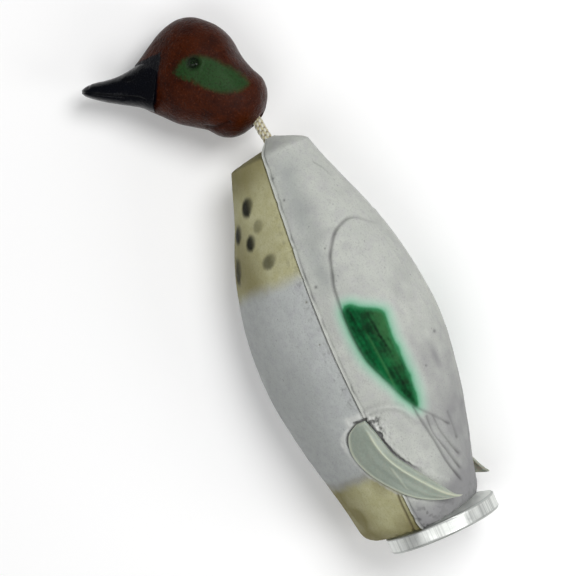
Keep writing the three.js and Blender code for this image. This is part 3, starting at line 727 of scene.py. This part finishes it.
def belly_look():
    look, base = foam_look("grey_foam_belly", (184, 188, 186), (174, 178, 176),
                           (166, 166, 170))
    # Painted shade at the belly's outer edge comes with the wear layer, here and on the buff.
    base = look.over(base, ("wear_and_shade", 0.35, (128, 131, 129)))
    buff = look.mix(look.ramp(look.noise(6, 4, 0.65), (0.35, 0.0), (0.65, 1.0)),
                    (170, 167, 128), (182, 180, 146))
    buff = look.mix(look.ramp(look.fine, (0.3, 0.4), (0.5, 0.0)), buff, (134, 130, 92))
    buff = look.over(buff, ("wear_and_shade", 0.85, (114, 107, 68)))
    base = look.mix(look.mark("buff"), base, buff)
    base = look.over(base, ("dirt", 0.35, (116, 112, 96)))
    spot = look.mix(look.noise(1.5, 3), (20, 21, 14), (44, 45, 31))
    base = look.mix(look.mark("spots"), base, spot)
    # Painted shade in the grooves and pits and in the foot's recess.
    base = look.over(base, ("line", 0.8, (86, 78, 56)), ("crumbs", 0.75, (98, 97, 96)),
                     ("rim", 0.8, (200, 202, 198)), ("pocket", 0.75, (108, 106, 104)))
    look.colour(base)
    return look


# --- body ---

for name, side, look in (("foam_back_half", 1, back_look()), ("foam_belly_half", -1, belly_look())):
    points, faces, marks = body_half(side)
    piece = mesh_piece(name, points, faces, marks)
    give(piece, look)
    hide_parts("back_half" if side > 0 else "belly_half")
    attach(piece, "torso")

# --- feet ---

FOOT_ROWS = 180
FOOT_COLUMNS = 46


def foot_piece(side, name, body, node):
    first, last = FOOT_STATIONS[0][0], FOOT_STATIONS[-1][0]
    backs = first + (last - first) * (0.5 - 0.5 * np.cos(np.linspace(0, math.pi, FOOT_ROWS)))
    outline = foot_outline(backs)
    low, crest, high = outline[:, 0:2], outline[:, 2:4], outline[:, 4:6]
    share = np.linspace(0, 1, FOOT_COLUMNS)
    t = np.clip(share / FOOT_CREST, 0, 1)[None, :, None]
    u = np.clip((share - FOOT_CREST) / (1 - FOOT_CREST), 0, 1)[None, :, None]
    sheet = low[:, None] + (crest - low)[:, None] * t + (high - crest)[:, None] * u
    sheet[..., 0] += (FOOT_BOW * t * (1 - t))[..., 0]
    away = sheet * [1, FOOT_ROUNDNESS]
    away = away / np.linalg.norm(away, axis=-1, keepdims=True)
    back = backs[:, None] + 0 * sheet[..., 0]
    along = (back - first) / (last - first)
    tall = (high[:, 1] - low[:, 1])[:, None]
    edge = np.minimum(np.minimum(share, 1 - share) * tall,
                      0.8 * np.minimum(last - back, back - first))
    bevel = edge / 0.9
    half = FOOT_THICKNESS / 2 * np.sqrt(np.clip(bevel, 0.01, 1) * (2 - np.clip(bevel, 0, 1)))
    spot = np.stack([-back, sheet[..., 0], sheet[..., 1]], -1)
    ridge = bell((share - FOOT_CREST) * tall, 0.8) * smooth(0.02, 0.2, along)
    low_ridge = bell(share * tall - 1.1, 0.7)
    crease_at = np.interp(back, [173, 179, 185], [0.64, 0.5, 0.3])
    crease = bell((share - crease_at) * 16, 0.45) * between(171.5, 173.5, 184.5, 186.5, back)
    veins = 0.12 * np.sin(share * 21 + 0.06 * back) * smooth(0.1, 0.3, along)
    lift = 0.42 * ridge + 0.30 * low_ridge + 0.22 * crease + veins + 0.06 * grain(spot, 2.5)
    lift = lift * smooth(0, 0.6, edge)
    outer = sheet + away * (half - FOOT_THICKNESS / 2 + lift * 0.9 + 0.35)[..., None]
    inner = sheet - away * (half + FOOT_THICKNESS / 2)[..., None]
    ring = np.concatenate([outer, inner[:, ::-1]], 1)
    rings = np.stack([-backs[:, None] + 0 * ring[..., 0], side * ring[..., 0], ring[..., 1]], -1)
    # The ridge mark is a painted highlight: the raised crest, the low ridge and the crease are
    # painted paler, as if lit.
    marks = {"ridge": np.clip(ridge + 0.8 * low_ridge + 0.45 * crease, 0, 1),
             "thin": 1 - smooth(0.3, 1.8, edge)}
    marks = {mark: np.concatenate([value, 0 * back], 1).ravel() for mark, value in marks.items()}
    points, faces = skin(from_body(rings))
    piece = mesh_piece(name, points, faces, marks)
    look = Look(name + "_vinyl", 0.42, Specular_IOR_Level=0.4, Subsurface_Weight=0.06)
    broad = look.noise(9, 3)
    fine = look.noise(1.2, 3)
    base = look.mix(broad, (134, 143, 132), (154, 161, 149))
    base = look.mix(look.ramp(fine, (0.35, 0.25), (0.6, 0.0)), base, (120, 127, 118))
    # Painted highlight on the ridges.
    base = look.over(base, ("ridge", 0.85, (190, 193, 172)), ("thin", 0.3, (180, 183, 168)))
    look.colour(base)
    look.bumps((fine, 0.08), (broad, 0.2))
    look.roughness(0.35, 0.55, fine)
    give(piece, look)
    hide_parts(node)
    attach(piece, body)


foot_piece(1, "foot_left_web", "left_foot", "left_foot")
foot_piece(-1, "foot_right_web", "right_foot", "right_foot")

# --- head ---

HEAD_STATIONS = [  # along the head, bottom, top, half width
    [-3.5, 9, 17, 5], [-2.1, 4.2, 20.5, 9.5], [0.5, 0, 23.4, 13], [4.5, -4, 26.8, 16],
    [9.5, -7.2, 33, 18.4], [14.5, -8.5, 41.5, 19.6], [19.5, -8, 46.5, 20.2], [25.5, -5, 49.8, 20.4],
    [33.5, -3.2, 52, 20], [41, -1.6, 51, 17.8], [46.5, 0.6, 48, 15.2], [51.5, 2.8, 43.4, 12.2],
    [55.5, 4.4, 38.4, 9.8], [60, 6.4, 32.4, 7], [63.5, 7.6, 28, 4.6],
]
BILL_STATIONS = [  # the same, and the power of the section
    [50.5, 4.0, 32, 13.8, 3.2], [54, 4.8, 31.6, 12.2, 3], [59.5, 6.3, 29.6, 10.4, 2.6],
    [65, 7.3, 26, 8.8, 2.3], [72, 8.2, 22.2, 8, 2.1], [79, 9.4, 20, 7.9, 2.1],
    [85, 10.8, 18.8, 7.7, 2.1], [88.6, 12, 17.3, 6.2, 2], [90.6, 13.4, 15.8, 3.4, 2],
]
EYE = np.array([30, 18.2, 28.6])
EYE_RADIUS = 3.2
GREEN_PATCH = [(41, 23.6), (38, 29), (32.5, 32.2), (27, 32.7), (20, 30.6), (12, 26.8), (5.8, 22.4),
               (3.2, 18.4), (7, 15), (13, 14), (18, 14.4), (23.5, 15.8), (28, 17.6), (33, 19),
               (37.5, 20.2)]
# Where the black paint starts along the head, at which height, and how far that edge slants.
PAINT_EDGE = 49.4
PAINT_MIDDLE = 19
PAINT_SLANT = 0.13


def head_rings(stations, along, power, cheek, columns):
    """Rings round the head or the bill, widest at a share cheek of their height."""
    bottom, top, width = (hermite(stations, c, along)[:, None] for c in (1, 2, 3))
    turn = np.linspace(0, 2 * math.pi, columns, endpoint=False)
    c, s = np.cos(turn), np.sin(turn)
    middle = bottom + (top - bottom) * cheek
    reach = np.where(s > 0, top - middle, middle - bottom)
    y = width * np.sign(c) * np.abs(c) ** (2 / power)
    z = middle + reach * np.sign(s) * np.abs(s) ** (2 / power)
    return np.stack([along[:, None] + 0 * y, y, z], -1)


def cap(ring, shares, bulge=0):
    """Smaller copies of a ring that close it, bulging forward."""
    heart = ring.mean(1, keepdims=True)
    return [heart + (ring - heart) * k + [bulge * (1 - k ** 2), 0, 0] for k in shares]


def grid_outward(rings):
    return turned_out(normals_of(rings, True), rings - rings.mean(1, keepdims=True))


def head_shell_piece():
    along = np.concatenate([np.linspace(-3.5, 0.5, 16, endpoint=False), np.arange(0.5, 63.5, 0.45),
                            [63.5]])
    rings = head_rings(HEAD_STATIONS, along, 2.15, 0.44, 300)
    rings = np.concatenate(cap(rings[:1], (0.15, 0.4, 0.65, 0.85), -0.5) + [rings]
                           + cap(rings[-1:], (0.93, 0.6, 0.2)))
    normal = grid_outward(rings)
    x, y, z = np.moveaxis(rings, -1, 0)
    lift = 0.07 * grain(rings, 3) + 0.12 * grain(rings, 9)
    throat, _ = to_path(x, z, [(25, -3.2), (20, -3.6), (16, -2.2), (12.5, -1.0)])
    crease = bell(throat, 0.9)
    lift -= 1.0 * crease
    eye_gap = np.linalg.norm(np.abs(rings) - EYE, axis=-1)
    socket = bell(eye_gap - 3.4, 0.9)
    hollow = np.exp(-(eye_gap / EYE_RADIUS) ** 4)
    lift = lift - 0.75 * hollow + 0.35 * bell(eye_gap - 4.7, 0.9)
    rings = rings + normal * lift[..., None]
    # The rope's hole, a funnel along the rope.
    depth_now = rings @ NECK_WAY
    off = np.linalg.norm(rings - depth_now[..., None] * NECK_WAY, axis=-1)
    hole = (1 - smooth(2.9, 4.6, off)) * (x < 14) * (depth_now < 10)
    rings = rings + hole[..., None] * NECK_WAY * 7.0
    green = inside(x, z, rounded(GREEN_PATCH + GREEN_PATCH[:1], 3)[:-1])
    thin_paint = (smooth(22, 38, x) * (0.55 + 0.7 * grain(rings, 1.1))
                  * (1 + 0.9 * smooth(27, 20, z)))
    flank = smooth(6, 9, np.abs(y))
    edge = PAINT_EDGE + (PAINT_MIDDLE - z) * PAINT_SLANT + 0.35 * grain(rings, 1.5)
    crest = 33.4 - 0.36 * (x - 50) + 0.5 * grain(rings, 2)
    marks = {
        "black": smooth(-0.4, 0.4, x - edge) * smooth(-0.5, 0.6, crest - z) * smooth(7.5, 9, z),
        "green": smooth(-1.6, 2.0, green + 0.6 * grain(rings, 1.6) - 1.6 * thin_paint) * flank,
        # painted shade inside the rope's hole and in the throat crease
        "dark": np.clip(hole + 0.5 * crease, 0, 1),
        "eye_socket_shade": socket,
    }
    points, faces = skin(from_head(rings))
    marks = {mark: (value + 0 * x).ravel() for mark, value in marks.items()}
    return mesh_piece("head_painted_shell", points, faces, marks)


def bill_piece():
    along = np.concatenate([[50.5, 50.52], np.arange(50.7, 90.6, 0.3), [90.6]])
    rings = head_rings(BILL_STATIONS, along, hermite(BILL_STATIONS, 4, along)[:, None], 0.42, 200)
    rings = np.concatenate(cap(rings[:1], (0.3, 0.8)) + [rings]
                           + cap(rings[-1:], (0.85, 0.6, 0.3, 0.1), 0.35))
    normal = grid_outward(rings)
    x, y, z = np.moveaxis(rings, -1, 0)
    bottom, top = (hermite(BILL_STATIONS, c, x) for c in (1, 2))
    share = (z - bottom) / (top - bottom)
    mouth_line = np.interp(x, [50, 58, 66, 78, 91], [0.20, 0.22, 0.27, 0.36, 0.42])
    mouth = bell((share - mouth_line) * (top - bottom), 0.42) * smooth(54, 58, x)
    nostril = bell(x - 66, 2.3) * bell(z - 20.4, 0.9) * smooth(3, 6, np.abs(y))
    nail = bell(x - 86.4, 0.45) * smooth(0.62, 0.8, share)
    keel = bell(y, 2.2) * smooth(0.7, 0.95, share) * between(52, 60, 80, 88, x)
    side_dip = bell(share - 0.62, 0.12) * between(56, 64, 82, 88, x)
    lift = (-0.45 * mouth - 0.55 * nostril - 0.25 * nail + 0.2 * keel - 0.3 * side_dip
            + 0.05 * grain(rings, 2.2))
    rings = rings + normal * (lift * smooth(50.5, 51.5, x))[..., None]
    rings[..., 0] += (PAINT_MIDDLE - z) * PAINT_SLANT * (1 - smooth(50.5, 62, x))
    points, faces = skin(from_head(rings))
    marks = {"mouth": np.clip(mouth + nostril, 0, 1).ravel()}
    return mesh_piece("bill_painted", points, faces, marks)


shell = head_shell_piece()
paint = Look("head_paint_satin", 0.34, Specular_IOR_Level=0.09)
patchy = paint.noise(8, 4, 0.6)
speckle = paint.noise(1.0, 4, 0.65)
brown = paint.mix(paint.ramp(patchy, (0.35, 0.0), (0.65, 1.0)), (41, 9, 0), (60, 20, 0))
brown = paint.mix(paint.ramp(speckle, (0.30, 0.7), (0.48, 0.0)), brown, (30, 9, 3))
# The lighter specks are painted highlights on the grain.
brown = paint.mix(paint.ramp(speckle, (0.58, 0.0), (0.72, 0.75)), brown, (92, 50, 33))
green = paint.mix(patchy, (24, 54, 22), (42, 70, 36))
green = paint.mix(paint.ramp(speckle, (0.3, 0.8), (0.5, 0.0)), green, (30, 32, 16))
hide = paint.mix(paint.mark("green"), brown, green)
# Painted shade inside the rope's hole and in the throat crease.
hide = paint.mix(paint.mark("dark"), hide, (22, 10, 8))
# Painted shade in the socket ring round the eye bead.
hide = paint.over(hide, ("eye_socket_shade", 0.55, (12, 9, 6)))
hide = paint.mix(paint.mark("black"), hide, paint.mix(patchy, (1, 2, 6), (8, 9, 17)))
paint.colour(hide)
paint.bumps((speckle, 0.34), (paint.noise(2.4, 3, 0.6), 0.45), (patchy, 0.4))
paint.roughness(0.26, 0.42, paint.noise(2.5, 3))
give(shell, paint)
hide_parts("head_shell")
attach(shell, "head")

beak = bill_piece()
gloss = Look("bill_paint_gloss", 0.2, Specular_IOR_Level=0.14)
mottled = gloss.noise(5, 3)
dust = gloss.noise(0.8, 3)
black = gloss.mix(mottled, (0, 0, 3), (2, 4, 12))
black = gloss.mix(gloss.ramp(dust, (0.62, 0.0), (0.75, 0.5)), black, (34, 36, 44))
# Painted shade in the mouth line and the nostrils.
black = gloss.over(black, ("mouth", 0.7, (4, 4, 5)))
gloss.colour(black)
gloss.bumps((dust, 0.06), (mottled, 0.5))
gloss.roughness(0.14, 0.32, dust)
give(beak, gloss)
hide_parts("bill")
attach(beak, "head")

bead = Look("eye_bead", 0.07, Specular_IOR_Level=0.2)
bead.colour(bead.mix(bead.noise(1.5, 2), (1, 1, 2), (7, 3, 3)))
bead.bumps((bead.noise(3, 2), 0.02))
for node in ("left_eye", "right_eye"):
    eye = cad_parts[node]
    give(eye, bead)
    rounding = eye.modifiers.new("rounding", "SUBSURF")
    rounding.levels = rounding.render_levels = 2
    eye.data.polygons.foreach_set("use_smooth", [True] * len(eye.data.polygons))

# --- rope ---

ROPE_RADIUS = 2.7
STRANDS = 8
STRAND_PITCH = 13.0
ROPE_COLUMNS = 96
ROPE_STEP = 0.35
PIVOT_DEPTH = 3.2  # from the mouth of a hole to where the rope bends in it


def rope_line():
    """The rope's middle line from inside the body to inside the head, in row-frame millimetres."""
    body_way = BODY_AXES[0]
    head_way = NECK_WAY @ HEAD_AXES
    body_pivot = NOSE - PIVOT_DEPTH * body_way
    head_pivot = HEAD_HOLE + PIVOT_DEPTH * head_way
    waypoints = [NOSE - 88 * body_way, NOSE - 50 * body_way, NOSE - 20 * body_way,
                 NOSE - 8 * body_way, body_pivot, (body_pivot + head_pivot) / 2, head_pivot,
                 HEAD_HOLE + 9 * head_way, HEAD_HOLE + 20 * head_way, HEAD_HOLE + 33 * head_way]
    lengths = np.linalg.norm(np.diff(waypoints, axis=0), axis=1)
    steps = np.concatenate([[0], np.cumsum(lengths)])
    table = [(s, *p) for s, p in zip(steps, waypoints)]
    at = np.arange(0, steps[-1], ROPE_STEP)
    line = np.stack([hermite(table, c, at) for c in (1, 2, 3)], -1)
    return line, at, steps


rope_points, rope_run, rope_marks = rope_line()
lower_middle = (rope_marks[4] + rope_marks[5]) / 2
upper_middle = (rope_marks[5] + rope_marks[6]) / 2


def rope_tube(name, start, end):
    keep = (rope_run >= start - 0.2) & (rope_run <= end + 0.2)
    line, run = rope_points[keep], rope_run[keep]
    way = np.gradient(line, axis=0)
    way /= np.linalg.norm(way, axis=1, keepdims=True)
    across = np.cross(way, [0.0, 0.0, 1.0])
    across /= np.linalg.norm(across, axis=1, keepdims=True)
    above = np.cross(across, way)
    turn = np.linspace(0, 2 * math.pi, ROPE_COLUMNS, endpoint=False)[None]
    wind = STRANDS / 2 * turn / (2 * math.pi)
    climb = (run / STRAND_PITCH * STRANDS / 2)[:, None]
    first, second = wind + climb, wind - climb
    over = 0.5 + 0.5 * np.sin(2 * math.pi * (first + second))
    high_a = np.abs(np.cos(math.pi * first)) ** 0.7 * (0.45 + 0.55 * over)
    high_b = np.abs(np.cos(math.pi * second)) ** 0.7 * (1.0 - 0.55 * over)
    height = np.maximum(high_a, high_b)
    radius = ROPE_RADIUS * (0.86 + 0.14 * height)
    ring = (line[:, None] + radius[..., None] * (np.cos(turn)[..., None] * across[:, None]
                                                + np.sin(turn)[..., None] * above[:, None]))
    points, faces = skin(ring * MM)
    marks = {"strand": height.ravel(), "pale": (high_a > high_b).astype(float).ravel()}
    piece = mesh_piece(name, points, faces, marks)
    give(piece, cord)
    return piece


cord = Look("braided_cord", 0.85, Sheen_Weight=0.25, Sheen_Roughness=0.5)
fibres = cord.noise(0.35, 3, 0.7)
soil = cord.noise(5, 3)
twine = cord.mix(cord.mark("pale"), (202, 194, 154), (224, 222, 208))
twine = cord.mix(cord.ramp(fibres, (0.35, 0.4), (0.55, 0.0)), twine, (150, 138, 98))
# Painted shade in the gaps between the strands.
twine = cord.mix(cord.ramp(cord.mark("strand"), (0.35, 0.8), (0.75, 0.0)), twine, (104, 92, 62))
twine = cord.mix(cord.ramp(soil, (0.5, 0.0), (0.8, 0.4)), twine, (160, 150, 120))
cord.colour(twine)
cord.bumps((fibres, 0.08), (cord.mark("strand"), 0.2))


lower = rope_tube("rope_lower_braid", 0, lower_middle)
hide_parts("rope_in_body", "rope_lower_link")
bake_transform(lower)
middle = rope_tube("rope_middle_braid", lower_middle, upper_middle)
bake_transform(middle)
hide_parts("rope_upper_link")
upper = rope_tube("rope_upper_braid", upper_middle, rope_marks[-1])
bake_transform(upper)
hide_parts("rope_in_head")

knot_look = Look("knotted_cord", 0.85, Sheen_Weight=0.25, Sheen_Roughness=0.5)
weave = knot_look.cells(0.9)
knot_look.colour(knot_look.mix(knot_look.ramp(weave, (0.1, 0.0), (0.5, 1.0)), (214, 208, 180),
                               (140, 130, 96)))
knot_look.bumps((weave, 0.25))
for node in ("body_knot", "head_knot"):
    give(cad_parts[node], knot_look)

# --- flange, tube and fittings ---

FLANGE_RADIUS = 29.5
FLANGE_COLUMNS = 640
EDGE_BEVEL = 0.00015  # in metres


def flange_piece():
    front, rear = BODY_LENGTH, BODY_LENGTH + FLANGE_RIM
    corners = [(front - 5, TUBE_ROOM), (front - 5, 17), (front - 2.5, 20), (front - 1, 25.5),
               (front, 28.2), (front + 0.15, 28.9), (front + 0.9, FLANGE_RADIUS),
               (front + 1.3, 29.35), (rear - 1.3, 29.35), (rear - 0.9, FLANGE_RADIUS),
               (rear - 0.15, 28.9), (rear, 28.6), (rear, 27.2), (rear - 0.25, 26.9),
               (rear - 0.25, 26.2), (rear, 25.9), (rear, 14.2), (rear - 0.5, TUBE_ROOM + 0.3),
               (rear - 0.9, TUBE_ROOM)]
    profile = []
    for (b0, r0), (b1, r1) in zip(corners, corners[1:] + corners[:1]):
        count = max(2, int(math.hypot(b1 - b0, r1 - r0) / 0.55))
        for t in np.linspace(0, 1, count, endpoint=False):
            profile.append((b0 + (b1 - b0) * t, r0 + (r1 - r0) * t))
    profile = np.array(profile)
    turn = np.linspace(0, 2 * math.pi, FLANGE_COLUMNS, endpoint=False)[:, None]
    back = profile[:, 0] + 0 * turn
    radius = profile[:, 1] + 0 * turn
    on_rim = between(front + 1, front + 1.4, rear - 1.4, rear - 1, back)
    on_rim = on_rim * smooth(29.2, 29.34, radius)
    rim = FLANGE_RADIUS * np.stack([np.cos(turn), np.sin(turn), 0 * turn], -1)
    ribs = 0.7 * grain(rim, 0.4) + 0.35 * grain(rim, 1.3) + 0.35 * grain(rim, 6)
    ribs = np.clip(ribs, -1, 0.6)
    radius = radius + 0.012 * ribs * on_rim
    rings = np.stack([-back, radius * np.cos(turn), radius * np.sin(turn)], -1)
    points = from_body(rings.reshape(-1, 3))
    near = np.arange(len(points)).reshape(radius.shape)
    beside = np.roll(near, -1, 0)
    quads = np.stack([near, np.roll(near, -1, 1), np.roll(beside, -1, 1), beside], -1)
    faces = outward(points, quads.reshape(-1, 4))
    # Painted shade: the mark darkens the chatter marks on the rim and the rounded edges.
    chamfer = smooth(28.3, 28.9, radius) * (1 - on_rim)
    marks = {"rib_and_edge_shade": np.clip(-0.6 * ribs * on_rim + 0.5 * chamfer, 0, 1).ravel()}
    return mesh_piece("flange_turned_disc", points, faces, marks)


def metal_look(name, light, dark, rough):
    look = Look(name, rough, Metallic=1.0)
    turn_marks = look.noise(0.35, 2, 0.5, look.stretched(1.0, 0.08, 0.08))
    cloud = look.noise(7, 3)
    base = look.mix(cloud, dark, light)
    look.metal_base = look.mix(look.ramp(turn_marks, (0.35, 0.35), (0.6, 0.0)), base, dark)
    look.bumps((turn_marks, 0.05), (cloud, 0.08))
    look.roughness(rough * 0.8, rough * 1.3, cloud)
    return look


disc = flange_piece()
bright = metal_look("aluminium_turned", (236, 238, 234), (212, 215, 212), 0.46)
# Painted shade on the chatter marks and the rounded edges.
ribbed = bright.mix(bright.mark("rib_and_edge_shade"), bright.metal_base, (118, 122, 120))
bright.colour(ribbed)
give(disc, bright)
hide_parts("launcher_flange")
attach(disc, "torso")

tube_look = metal_look("aluminium_tube", (214, 217, 215), (170, 174, 173), 0.3)
tube_look.colour(tube_look.metal_base)
steel = metal_look("washer_steel", (188, 190, 192), (140, 142, 144), 0.32)
steel.colour(steel.metal_base)
plug_look = Look("plug_plastic", 0.5)
plug_grain = plug_look.noise(0.7, 3)
plug_look.colour(plug_look.mix(plug_look.noise(4, 3), (58, 61, 64), (78, 81, 84)))
plug_look.bumps((plug_grain, 0.05))
plug_look.roughness(0.42, 0.6, plug_grain)
for node, look in (("launcher_tube", tube_look), ("tube_plug", plug_look), ("body_washer", steel),
                   ("head_washer", steel)):
    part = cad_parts[node]
    give(part, look)
    edges = part.modifiers.new("edges", "BEVEL")
    edges.width = EDGE_BEVEL
    edges.segments = 2
    edges.limit_method = "ANGLE"

# --- floor and light ---

FLOOR_REACH = 3.0  # in metres
FLOOR_CELLS = 24
LIGHT_TARGET = Vector((0, 0, 0.03))

line_at = np.linspace(-FLOOR_REACH, FLOOR_REACH, FLOOR_CELLS + 1)
floor_points = [(x, y, 0.0) for y in line_at for x in line_at]
near = np.arange(len(floor_points)).reshape(FLOOR_CELLS + 1, -1)
floor_faces = np.stack([near[:-1, :-1], near[:-1, 1:], near[1:, 1:], near[1:, :-1]], -1)
floor_mesh = bpy.data.meshes.new("floor")
floor_mesh.from_pydata(floor_points, [], floor_faces.reshape(-1, 4).tolist())
floor = bpy.data.objects.new("floor", floor_mesh)
bpy.context.scene.collection.objects.link(floor)
paper = Look("floor_paper", 0.9)
paper.colour(paper.mix(paper.noise(400, 2), (250, 250, 250), (254, 254, 254)))
give(floor, paper)


def area_light(name, position, size, power):
    data = bpy.data.lights.new(name, "AREA")
    data.shape = "DISK"
    data.size = size
    data.energy = power
    light = bpy.data.objects.new(name, data)
    bpy.context.scene.collection.objects.link(light)
    light.location = position
    aim = LIGHT_TARGET - Vector(position)
    light.rotation_euler = aim.to_track_quat("-Z", "Y").to_euler()


area_light("key", (0.30, -0.62, 1.30), 0.7, 12)
area_light("fill", (-0.45, 0.55, 1.35), 1.2, 7)
area_light("rear", (-0.75, -0.95, 0.75), 0.6, 4)

world = bpy.data.worlds.new("world")
bpy.context.scene.world = world
world.use_nodes = True
world.node_tree.nodes["Background"].inputs["Color"].default_value = (1, 1, 1, 1)
world.node_tree.nodes["Background"].inputs["Strength"].default_value = 0.28
bpy.context.scene.view_settings.view_transform = "Standard"
